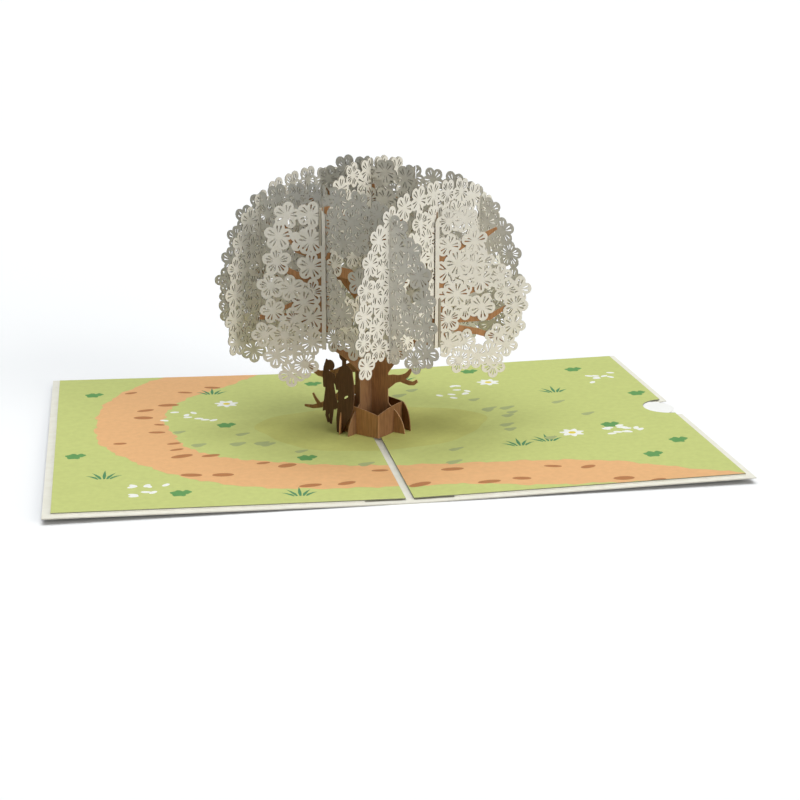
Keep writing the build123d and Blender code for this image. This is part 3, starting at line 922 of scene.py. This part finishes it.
@dataclass
class BlossomTree:
    """All cream sheets: four of the square lattice, two on each brown sheet, and four sprays."""

    lattice_half: float = 30.4
    lattice_reach: float = 52.0
    blossom_radius: float = 5.3
    split_height: float = 70.0
    lap_start: float = -10.0
    blossom_sheet: float = 0.30
    branch_sheet: float = 0.35
    clearance: float = 0.20
    outer_top: float = 98.0
    outer_shoulder: float = 50.0
    outer_power: float = 2.7
    crown_top: float = 104.5
    crown_shoulder: float = 52.0
    crown_power: float = 5.0
    crown_wall_gap: float = 0.8
    dome_samples: int = 12
    spray_gap: float = 1.6
    spray_inset: float = 1.8
    spray_a_split: float = 80.0
    spray_b_split: float = 58.0
    spray_margin: float = 2.2
    spray_pitch: float = 6.8
    patch_lift: float = 2.5
    patch_end: float = -0.2
    outer_seed: int = 11
    crown_seed: int = 21
    spray_seed: int = 31
    paper: PaperFinish = PaperFinish(
        "cream_paper", linear(238, 235, 226), linear(231, 228, 217), linear(146, 139, 122)
    )

    def dome(self, half: float, low: float, high: float, power: float) -> list[Pair]:
        """Draws the top of a superellipse.

        Across and up, the share of the half size is the cosine or the sine of an even turn, to two
        over the power.

        Args:
            half: Half width.
            low: Height of the shoulders.
            high: Height of the top.
            power: How square the dome is.

        Returns:
            Points from the left shoulder to the right one.
        """
        turn = np.pi * np.arange(self.dome_samples + 1) / self.dome_samples
        across = np.abs(np.cos(turn)) ** (2 / power) * np.where(turn < np.pi / 2, -half, half)
        rise = low + (high - low) * np.abs(np.sin(turn)) ** (2 / power)
        return list(zip(across.tolist(), rise.tolist()))

    def lap(self, at: float, width: float, height: float, from_below: bool) -> np.ndarray:
        """A slot that runs to a height from the lower or the upper edge of a sheet."""
        low, high = (self.lap_start, height) if from_below else (height, PAST_EDGE)
        return rectangle((at - width / 2, low), (at + width / 2, high))

    def lattice_plane(self, family: Family, offset: float, depth: float = 0.0) -> SheetPlane:
        """Finds the plane of a lattice sheet.

        Args:
            family: The direction in which the sheet stands.
            offset: How far it stands from the middle, across its family.
            depth: How far out of its own face it is moved.

        Returns:
            The plane.
        """
        if family is Family.A:
            move = offset + depth
            return standing(move * DIAGONAL, -move * DIAGONAL, math.pi / 4)
        move = offset - depth
        return standing(move * DIAGONAL, move * DIAGONAL, -math.pi / 4)

    def outer_sheets(self) -> list[CutSheet]:
        """Lists the four sheets of the square lattice.

        Returns:
            The sheets.
        """
        half = self.lattice_half
        places = {
            "front_left": (Family.B, -half), "front_right": (Family.A, half),
            "back_left": (Family.A, -half), "back_right": (Family.B, half),
        }
        crossing = {-half: self.blossom_sheet, 0.0: self.branch_sheet, half: self.blossom_sheet}
        reach = self.lattice_reach - self.blossom_radius
        dome = self.dome(reach, self.outer_shoulder, self.outer_top, self.outer_power)
        sheets = []
        for name, (family, offset) in places.items():
            notches = [
                self.lap(at, sheet + self.clearance, self.split_height, family is Family.A)
                for at, sheet in crossing.items()
            ]
            rim = np.array(dome + OUTER_DROOPS[name])
            drawn = BlossomField(rim, self.outer_seed + len(sheets), OUTER_WINDOWS[name], tuple(crossing))
            sheets.append(CutSheet(f"blossom_{name}", self.lattice_plane(family, offset), drawn, notches))
        return sheets

    def crown_sheets(self) -> list[CutSheet]:
        """Lists the cream sheets glued on both faces of the two brown sheets, inside the lattice.

        Returns:
            The sheets.
        """
        reach = self.lattice_half - self.crown_wall_gap - self.blossom_radius
        rim = np.array(self.dome(reach, self.crown_shoulder, self.crown_top, self.crown_power) + CROWN_DROOP)
        width = self.branch_sheet + 2 * self.blossom_sheet + self.clearance
        gap = (self.branch_sheet + self.blossom_sheet) / 2
        sheets = []
        for family in Family:
            notch = self.lap(0.0, width, self.split_height, family is Family.A)
            for side, face in ((1, "near"), (-1, "far")):
                plane = self.lattice_plane(family, 0.0, side * gap)
                drawn = BlossomField(rim, self.crown_seed + len(sheets), CROWN_WINDOWS[family], (0.0,))
                sheets.append(CutSheet(f"crown_{family.value}_{face}", plane, drawn, [notch]))
        return sheets

    def spray_sheets(self) -> list[CutSheet]:
        """Lists the cream sheets of the four sprays. Opposite ones have the same outline.

        Returns:
            The sheets.
        """
        angle = math.pi / 4 + SPRAY_TURN
        pair = self.branch_sheet + self.blossom_sheet
        width = (self.branch_sheet + pair * math.cos(angle)) / math.sin(angle) + self.clearance
        reach = (self.lattice_half + self.spray_gap) * DIAGONAL
        inner = -self.spray_inset
        sheets = []
        for end in End:
            for side, hand in ((-1, "left"), (1, "right")):
                is_long = (side > 0) == (end is End.FRONT)
                kind, split = ("long", self.spray_b_split) if is_long else ("short", self.spray_a_split)
                heading = -end.value * (SPRAY_TURN if side > 0 else math.pi - SPRAY_TURN)
                depth = -end.value * side * self.branch_sheet / 2
                x = side * reach + depth * math.sin(heading)
                y = end.value * reach - depth * math.cos(heading)
                rim = np.array(SPRAY_RIMS[kind], float)
                patch = rectangle((inner, rim[-1, 1] + self.patch_lift), (self.patch_end, rim[0, 1]))
                notches = [self.lap(0.0, width, split, is_long)]
                notches.append(rectangle((-PAST_EDGE, 0.0), (inner, PAST_EDGE)))
                drawn = BlossomField(
                    rim, self.spray_seed + 2 * side + end.value, SPRAY_WINDOWS[kind],
                    inner_pitch=self.spray_pitch, inner_margin=self.spray_margin,
                    window_margin=self.spray_margin,
                )
                name = f"spray_{end.name.lower()}_{hand}"
                sheets.append(CutSheet(name, standing(x, y, heading), drawn, notches, patch=[patch]))
        return sheets

    def build(self) -> None:
        """Cuts every cream sheet."""
        material = self.paper.material()
        for sheet in self.outer_sheets() + self.crown_sheets() + self.spray_sheets():
            sheet.build(material)


# Brown sheets and the card itself


@dataclass
class Branches:
    """The brown sheets, which keep their solids: only their finish is given here."""

    colour: Colour = linear(184, 136, 92)
    streak: Colour = linear(160, 116, 77)
    edge: Colour = linear(188, 148, 112)
    # Painted shade: the foot of the trunk sheet that faces the light is multiplied darker below a height.
    foot_painted_shade: Colour = (0.58, 0.58, 0.58, 1.0)
    # Painted light and shade: the ring is coloured lighter than the brown sheets for its -X wing, which
    # faces away from the light, and its +X half, which faces the light, is multiplied darker.
    ring_colour: Colour = linear(206, 152, 104)
    ring_streak: Colour = linear(184, 132, 86)
    ring_painted_shade: Colour = (0.43, 0.41, 0.39, 1.0)
    ring_shade_step: Pair = (0.001, -0.001)
    couple_colour: Colour = linear(108, 77, 54)
    couple_streak: Colour = linear(93, 66, 46)
    couple_edge: Colour = linear(112, 80, 56)

    def build(self) -> None:
        """Gives each brown node its finish. The foot of the sheet that faces the light is darker: painted
        shade, as on the ring's +X half.
        """
        across_a = (DIAGONAL, -DIAGONAL, 0.0)
        across_b = (-DIAGONAL, -DIAGONAL, 0.0)
        spray_one = (math.sin(SPRAY_TURN), -math.cos(SPRAY_TURN), 0.0)
        spray_two = (-math.sin(SPRAY_TURN), -math.cos(SPRAY_TURN), 0.0)
        # The last column is painted shade, given only to the foot of trunk_sheet_a.
        for node, normal, tip_along, painted_shade in (
            ("trunk_sheet_a", across_a, across_b, self.foot_painted_shade),
            ("trunk_sheet_b", across_b, across_a, None),
            ("branch_front_right", spray_one, None, None), ("branch_back_left", spray_one, None, None),
            ("branch_front_left", spray_two, None, None), ("branch_back_right", spray_two, None, None),
        ):
            dress(node, GrainedCardFinish(
                f"brown_card_{node}", self.colour, self.streak, self.edge, normal, tip_along=tip_along,
                painted_shade=painted_shade,
            ).material())
        # Painted shade: the ring is darker on its +X half, the half that faces the light.
        ring = GrainedCardFinish(
            "brown_card_ring", self.ring_colour, self.ring_streak, self.edge, (0.0, 0.0, 1.0),
            upright_edges=False, painted_shade=self.ring_painted_shade, shade_axis=0, shade_step=self.ring_shade_step,
        ).material()
        dress("root_ring_front", ring)
        dress("root_ring_back", ring)
        dress("couple", GrainedCardFinish(
            "dark_brown_card", self.couple_colour, self.couple_streak, self.couple_edge, across_b
        ).material())


def dress(node: str, material: bpy.types.Material) -> None:
    """Gives a solid of the frame its finish.

    Args:
        node: The solid's name.
        material: The finish.
    """
    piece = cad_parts[node]
    piece.data.materials.clear()
    piece.data.materials.append(material)
    LOG.info("%s: %s", node, material.name)


def moved(ring: np.ndarray, x: float, y: float) -> np.ndarray:
    """Moves an outline of complex numbers to a place, and gives its points, one row each."""
    return np.stack([x + ring.real, y + ring.imag], axis=1)


def waves(table: tuple[Triple, ...], at: np.ndarray, level: float = 0.0) -> np.ndarray:
    """Adds sine waves to a level: each has a height, a rate and a start."""
    return sum((height * np.sin(rate * at + start) for height, rate, start in table), level)


@dataclass(frozen=True)
class Motif:
    """A round or lobed outline: its reach is one plus the depth times the cosine of the lobed angle.

    It has a half length, a half width, a turn in radians, and a depth that is a share of its reach.
    """

    long: float
    wide: float
    turn: float = 0.0
    lobes: int = 0
    depth: float = 0.0
    points: int = 18

    def at(self, x: float, y: float) -> np.ndarray:
        """Draws the outline.

        Args:
            x: Its middle, across the card.
            y: Its middle, towards the back.

        Returns:
            The outline, one row per point.
        """
        angle = np.arange(self.points) / self.points * 2 * math.pi
        reach = 1 + self.depth * np.cos(self.lobes * angle)
        ring = reach * (self.long * np.cos(angle) + 1j * self.wide * np.sin(angle))
        return moved(ring * np.exp(1j * self.turn), x, y)


def blade(x: float, y: float, length: float, lean: float, width: float) -> np.ndarray:
    """Draws a leaf of grass, narrow at both ends and bent a little on the way.

    Args:
        x: Its root, across the card.
        y: Its root, towards the back.
        length: Length.
        lean: How far it leans from the y axis, in radians.
        width: Greatest width.

    Returns:
        The outline, one row per point.
    """
    share = np.array([0.0, 0.35, 0.7, 1.0])
    spine = share * length * np.exp(1j * (math.pi / 2 - lean * (0.5 + 0.5 * share)))
    half = 1j * np.array([0.5, 1.0, 0.6, 0.0]) * width / 2 * np.exp(1j * (math.pi / 2 - lean))
    return moved(np.concatenate([spine + half, (spine - half)[:-1][::-1]]), x, y)


@dataclass
class Lawn:
    """The print of a lawn with a sandy path, on two sheets that lie either side of the spine.

    The drawing is a list of outlines with inks, in the card's own x and y. A later one covers an
    earlier one. A row of the path is a place and a half width.
    """

    hinge: float = 4.0
    lift_deg: float = 0.95
    inner: float = -2.5
    outer: float = 120.0
    half_depth: float = 86.0
    level: float = 0.89
    thickness: float = 0.35
    notch: Triple = (120.0, 3.0, 10.0)
    slit_long: float = 4.8
    slit_wide: float = 0.65
    slit_front: Pair = (-15.0, 6.6)
    slit_back: Pair = (22.0, 12.0)
    front_run: Pair = (1.0, 1.0)
    back_run: Pair = (14.2, -30.0)
    seed: int = 5
    grass: Colour = linear(202, 209, 130)
    sand: Colour = linear(236, 184, 130)
    shade: Colour = linear(200, 202, 118)
    stone: Colour = linear(186, 126, 80)
    leaf: Colour = linear(104, 158, 92)
    reed: Colour = linear(88, 144, 98)
    petal: Colour = linear(246, 246, 238)
    pollen: Colour = linear(232, 214, 84)
    fleck: Colour = linear(172, 181, 126)
    # Painted shade: the lawn sheets' cut walls are dark grey so a shadow line shows along their edges.
    shaded_cut_edge: Colour = linear(132, 132, 112)
    path_rows: tuple[Triple, ...] = (
        (-44, 112, 18), (-52, 96, 17), (-65, 79, 16), (-82, 60, 14.5), (-92, 40, 14), (-95, 18, 13.5),
        (-93, -4, 15), (-87, -21, 13), (-77, -35, 13), (-64, -46, 14), (-46, -54, 15), (-24, -59, 13.5),
        (2, -61, 12), (28, -64, 12), (52, -68.5, 14), (77, -73, 12.5), (101, -82, 8), (126, -93, 6),
        (150, -104, 6),
    )
    path_waves: tuple[Triple, ...] = ((0.5, 0.9, 0.0), (0.45, 1.73, 1.0), (0.3, 2.9, 2.0))
    path_steps: int = 10
    shade_half: Pair = (46.0, 30.0)
    shade_waves: tuple[Triple, ...] = ((0.035, 3.0, 0.6), (0.03, 5.0, 0.0), (0.012, 11.0, 0.0))
    shade_points: int = 60
    stone_first: int = 12
    stone_every: int = 5
    stone_reach: Pair = (0.3, 0.95)
    stone_half: Pair = (2.2, 4.8)
    stone_flat: Pair = (0.38, 0.55)
    stone_turn: Pair = (-0.3, 0.4)
    leaf_places: tuple[Pair, ...] = (
        (-110, 60), (-117, -24), (-80, -71), (-58, 10), (-31, -36), (-16, 68), (101, 67), (117, 24),
        (93, -17), (98, -57), (113, -42), (55, 74),
    )
    tuft_places: tuple[Pair, ...] = (
        (-106, -52), (-38, -79), (-60, 56), (84, 33), (52, -36), (24, 66), (64, -33),
    )
    tuft_blades: tuple[Pair, ...] = ((-0.8, 6), (-0.4, 8), (0.05, 10), (0.45, 7.5), (0.85, 6))
    large_leaf: Motif = Motif(2.9, 3.2, 0.3, 5, 0.16)
    small_leaf: Motif = Motif(1.7, 2.0, 0.0, 4, 0.14)
    leaf_step: Pair = (2.8, 1.2)
    blade_width: float = 1.3
    blade_spread: float = 2.6
    petal_places: tuple[Triple, ...] = (
        (-96, -64, 9), (-66, 22, 8), (44, 44, 9), (98, -27, 14), (110, 52, 8),
    )
    petal_scatter: Pair = (6.5, 4.5)
    petal_half: Pair = (1.9, 1.1)
    petal_turn: float = 1.2
    daisy_places: tuple[Pair, ...] = ((-55, 41), (60, 55), (76, -24))
    daisy: Motif = Motif(4.2, 4.2, 0.2, 7, 0.22, 42)
    daisy_middle: Motif = Motif(1.5, 1.5)
    fleck_count: int = 32
    fleck_ring: Pair = (52.0, 30.0)
    fleck_reach: Pair = (0.95, 1.75)
    fleck_long: Pair = (2.3, 3.7)
    fleck_wide: Pair = (1.4, 2.2)

    def path(self) -> tuple[np.ndarray, np.ndarray]:
        """The path's middle line and half widths.

        The rows are joined by a curve that leaves each one towards the next but one. The half
        widths waver by three waves along the path.

        Returns:
            The points of the middle line, and the half width at each.
        """
        table = np.array(self.path_rows, float)
        share = np.arange(self.path_steps)[:, None] / self.path_steps
        rows = []
        for p, a, b, q in zip(table[:-3], table[1:-2], table[2:-1], table[3:]):
            rows.append(a + share * ((b - p) / 2) + share ** 2 * (p - 2.5 * a + 2 * b - q / 2)
                        + share ** 3 * (1.5 * (a - b) + (q - p) / 2))
        line = np.concatenate(rows)
        place = np.arange(len(line))
        return line[:, :2], line[:, 2] + waves(self.path_waves, place)

    def under_tree(self) -> np.ndarray:
        """Draws the shade under the tree: an ellipse whose edge has waves of three lengths.

        Returns:
            The outline, one row per point.
        """
        angle = np.arange(self.shade_points) / self.shade_points * 2 * math.pi
        wave = waves(self.shade_waves, angle, 1.0)
        long, deep = self.shade_half
        return np.stack([long * wave * np.cos(angle), deep * wave * np.sin(angle)], axis=1)

    def stones(self, random: np.random.Generator, line: np.ndarray, out: np.ndarray) -> list[np.ndarray]:
        """Draws flat stones on the path, at every few points of its line and to a random side of it.

        Args:
            random: Source of the random draws.
            line: The path's middle line.
            out: From each point of the line to the path's left edge.

        Returns:
            The stones, one outline each.
        """
        found = []
        for k in range(self.stone_first, len(line) - self.stone_first, self.stone_every):
            side = random.choice([-1, 1])
            x, y = line[k] + out[k] * side * random.uniform(*self.stone_reach)
            long = random.uniform(*self.stone_half)
            wide = long * random.uniform(*self.stone_flat)
            found.append(Motif(long, wide, random.uniform(*self.stone_turn)).at(x, y))
        return found

    def plants(self) -> list[tuple[np.ndarray, Colour]]:
        """Draws leaves in pairs, a large and a small one, and tufts of blades that lean apart.

        Returns:
            The outlines and their inks.
        """
        found = []
        for x, y in self.leaf_places:
            found.append((self.large_leaf.at(x, y), self.leaf))
            found.append((self.small_leaf.at(x + self.leaf_step[0], y + self.leaf_step[1]), self.leaf))
        for x, y in self.tuft_places:
            for lean, length in self.tuft_blades:
                root = x + lean * self.blade_spread
                found.append((blade(root, y, length, lean, self.blade_width), self.reed))
        return found

    def petals(self, random: np.random.Generator) -> list[tuple[np.ndarray, Colour]]:
        """Draws patches of loose petals, and whole daisies with a yellow middle.

        Args:
            random: Source of the random draws.

        Returns:
            The outlines and their inks.
        """
        found = []
        for x, y, count in self.petal_places:
            for _ in range(count):
                dx, dy = (random.normal(0, scatter) for scatter in self.petal_scatter)
                turn = random.uniform(-self.petal_turn, self.petal_turn)
                found.append((Motif(*self.petal_half, turn, points=10).at(x + dx, y + dy), self.petal))
        for x, y in self.daisy_places:
            found.append((self.daisy.at(x, y), self.petal))
            found.append((self.daisy_middle.at(x, y), self.pollen))
        return found

    def flecks(self, random: np.random.Generator, bank: np.ndarray) -> list[np.ndarray]:
        """Draws dull flecks in the grass round the tree, none of them on the path.

        Args:
            random: Source of the random draws.
            bank: Outline of the path.

        Returns:
            The flecks, one outline each.
        """
        found = []
        long, deep = self.fleck_ring
        for _ in range(self.fleck_count):
            turn, reach = random.uniform(0, 2 * math.pi), random.uniform(*self.fleck_reach)
            x, y = long * reach * math.cos(turn), deep * reach * math.sin(turn)
            if not inside(np.array([[x, y]]), bank)[0]:
                half = random.uniform(*self.fleck_long), random.uniform(*self.fleck_wide)
                found.append(Motif(*half, turn=0.5, lobes=3, depth=0.18).at(x, y))
        return found

    def drawing(self) -> list[tuple[np.ndarray, Colour]]:
        """Draws the fields of colour and then the small motifs over them.

        Returns:
            The outlines and their inks, the lowest first.
        """
        random = np.random.default_rng(self.seed)
        line, half = self.path()
        ahead = np.gradient(line, axis=0)
        out = np.stack([-ahead[:, 1], ahead[:, 0]], axis=1) / np.hypot(*ahead.T)[:, None] * half[:, None]
        bank = np.concatenate([line + out, (line - out)[::-1]])
        shapes = [(bank, self.sand), (self.under_tree(), self.shade)]
        shapes += [(shape, self.stone) for shape in self.stones(random, line, out)]
        shapes += self.plants() + self.petals(random)
        return shapes + [(shape, self.fleck) for shape in self.flecks(random, bank)]

    def cuts(self, side: int) -> list[np.ndarray]:
        """Draws the slits for the ring's anchor tabs, and the thumb notch of the right sheet.

        A slit lies on the line of a wing of the ring, which leaves the spine at the given run.

        Args:
            side: The sheet's side of the spine, as a sign along X.

        Returns:
            The outlines that are cut out.
        """
        long, wide = self.slit_long / 2, self.slit_wide / 2
        slit = rectangle((-long, -wide), (long, wide))
        shapes = []
        for (start, at), run in ((self.slit_front, self.front_run), (self.slit_back, self.back_run)):
            along = math.atan2(run[1], run[0])
            ring = (slit[:, 0] + 1j * slit[:, 1]) * np.exp(1j * side * along)
            x, y = side * (at * math.cos(along) - self.hinge), start + at * math.sin(along)
            shapes.append(moved(ring, x, y))
        if side > 0:
            x, y, radius = self.notch
            shapes.append(Motif(radius, radius, points=64).at(x, y))
        return shapes

    def build(self) -> None:
        """Prints and cuts both sheets, and puts them in the place of their solids."""
        material = PrintFinish("printed_card", self.shaded_cut_edge).material()
        drawing = self.drawing()
        lift = math.radians(self.lift_deg)
        for side, hand in ((-1, "left"), (1, "right")):
            low, high = sorted((side * self.inner, side * self.outer))
            shapes, inks = [rectangle((low, -self.half_depth), (high, self.half_depth))], [self.grass]
            for outline, ink in drawing:
                local = outline - (side * self.hinge, 0.0)
                if local[:, 0].max() > low and local[:, 0].min() < high:
                    shapes.append(local)
                    inks.append(ink)
            tiling = tile(shapes + self.cuts(side))
            keep = np.array([0 in owners and max(owners) < len(shapes) for owners in tiling.covers])
            top = np.array([max(owners) for owners, kept in zip(tiling.covers, keep) if kept])
            along = (math.cos(lift), 0.0, side * math.sin(lift))
            plane = SheetPlane((side * self.hinge, 0.0, 0.0), along, (0.0, 1.0, 0.0))
            triangles = tiling.triangles[keep]
            depths = (self.level, self.level + self.thickness)
            mesh = sheet_mesh(f"lawn_{hand}", plane, tiling.points, triangles, *depths)
            # The walls keep the dark grey edge colour, painted shade for the shadow line along the lawn's
            # edges.
            colours = np.tile(np.array(self.shaded_cut_edge), (len(mesh.polygons), 1))
            colours[:len(triangles)] = np.array(inks)[top]
            layer = mesh.attributes.new("ink", "FLOAT_COLOR", "FACE")
            layer.data.foreach_set("color", colours.astype(np.float32).ravel())
            mesh.materials.append(material)
            piece = new_object(f"lawn_{hand}_print", mesh)
            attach(piece, "root")
            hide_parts(f"lawn_{hand}")
            LOG.info("%s: %d faces", piece.name, len(mesh.polygons))


@dataclass
class Card:
    """The cover, the tape, the note card and the two printed sheets."""

    cover_paper: PaperFinish = PaperFinish(
        "cover_card", linear(240, 237, 224), linear(234, 230, 215), linear(226, 219, 200)
    )
    note_paper: PaperFinish = PaperFinish(
        "note_paper", linear(250, 249, 246), linear(246, 245, 241), linear(236, 234, 228)
    )
    tape: PaperFinish = PaperFinish(
        "tape", linear(236, 234, 226), linear(228, 226, 216), linear(214, 210, 198)
    )

    def build(self) -> None:
        """Dresses the plain pieces and prints the lawn."""
        dress("cover", self.cover_paper.material())
        dress("note_card", self.note_paper.material())
        tape = self.tape.material()
        for node in sorted(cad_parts):
            if node.startswith("tape_"):
                dress(node, tape)
        Lawn().build()


@dataclass
class Studio:
    """Floor, light and camera."""

    camera_place: Triple = (-99.9, -639.7, 198.9)
    camera_azimuth_deg: float = -9.869
    camera_elevation_deg: float = 16.051
    focal_pixels: float = 1692.9
    frame_pixels: float = 800.0
    sensor_mm: float = 36.0
    sun_from: Triple = (0.68, -0.71, 0.20)
    sun_strength: float = 2.2
    sun_colour: Triple = (1.0, 0.975, 0.92)
    sun_angle_deg: float = 42.0
    overhead: float = 4.35
    sky_power: float = 8.0
    ambient: float = 0.03
    sky_colour: Colour = (0.955, 0.98, 1.0, 1.0)
    seen_colour: Colour = (0.99, 0.99, 0.99, 1.0)
    clip_start: float = 0.01
    floor_size: float = 12.0
    floor_roughness: float = 0.9
    floor_colour: Colour = linear(140, 142, 146)

    def camera(self) -> None:
        """Sets the camera where the picture was taken from."""
        data = bpy.data.cameras.new("camera")
        data.sensor_width = self.sensor_mm
        data.lens = self.focal_pixels / self.frame_pixels * self.sensor_mm
        data.clip_start = self.clip_start
        camera = bpy.data.objects.new("camera", data)
        camera.location = Vector(self.camera_place) * MM
        tilt = math.radians(90 - self.camera_elevation_deg)
        camera.rotation_euler = (tilt, 0.0, math.radians(self.camera_azimuth_deg))
        bpy.context.scene.collection.objects.link(camera)
        bpy.context.scene.camera = camera

    def light(self) -> None:
        """Sets a wide soft lamp low on the right, and a sky that is brightest overhead.

        The sky's brightness grows with a high power of the height of the direction. The camera
        sees plain white.
        """
        data = bpy.data.lights.new("key", "SUN")
        data.energy = self.sun_strength
        data.color = self.sun_colour
        data.angle = math.radians(self.sun_angle_deg)
        lamp = bpy.data.objects.new("key", data)
        lamp.rotation_euler = Vector(self.sun_from).to_track_quat("Z", "Y").to_euler()
        bpy.context.scene.collection.objects.link(lamp)
        world = bpy.data.worlds.new("studio")
        bpy.context.scene.world = world
        world.use_nodes = True
        nodes = Nodes(world.node_tree)
        direction = nodes.add("ShaderNodeTexCoord").outputs["Generated"]
        height = nodes.add("ShaderNodeSeparateXYZ", None, Vector=direction).outputs[2]
        lobe = nodes.math("POWER", height, self.sky_power)
        sky = world.node_tree.nodes["Background"]
        nodes.feed(sky, 0, self.sky_colour)
        nodes.feed(sky, 1, nodes.math("MULTIPLY_ADD", lobe, self.overhead, self.ambient))
        plain = nodes.add("ShaderNodeBackground", None, Color=self.seen_colour)
        path = nodes.add("ShaderNodeLightPath").outputs
        seen = nodes.math("MAXIMUM", path["Is Camera Ray"], path["Is Transmission Ray"])
        mix = nodes.add("ShaderNodeMixShader", None, _0=seen, _1=sky.outputs[0], _2=plain.outputs[0])
        nodes.feed(world.node_tree.nodes["World Output"], 0, mix.outputs[0])

    def floor(self) -> None:
        """Lays a wide pale floor that shows white to the camera and keeps the shadow."""
        half = self.floor_size / 2
        corners = [(-half, -half, 0), (half, -half, 0), (half, half, 0), (-half, half, 0)]
        mesh = bpy.data.meshes.new("floor")
        mesh.from_pydata(corners, [], [(0, 1, 2, 3)])
        piece = new_object("floor", mesh)
        shader = Shader("floor")
        shader.surface.inputs["Base Color"].default_value = self.floor_colour
        shader.surface.inputs["Roughness"].default_value = self.floor_roughness
        shader.surface.inputs["Specular IOR Level"].default_value = 0.0
        seen = shader.add("ShaderNodeLightPath").outputs["Is Camera Ray"]
        white = shader.add("ShaderNodeBsdfDiffuse", None, Color=WHITE)
        surface = shader.surface.outputs[0]
        mix = shader.add("ShaderNodeMixShader", None, _0=seen, _1=surface, _2=white.outputs[0])
        shader.feed(shader.tree.nodes["Material Output"], 0, mix.outputs[0])
        mesh.materials.append(shader.material)

    def build(self) -> None:
        """Sets up the picture."""
        self.camera()
        self.light()
        self.floor()
        bpy.context.scene.view_settings.view_transform = "Standard"


def main() -> None:
    """Builds the picture's parts in order."""
    logging.basicConfig(level=logging.INFO, format="%(name)s: %(message)s")
    Studio().build()
    Card().build()
    Branches().build()
    BlossomTree().build()


if __name__ == "__main__":
    main()
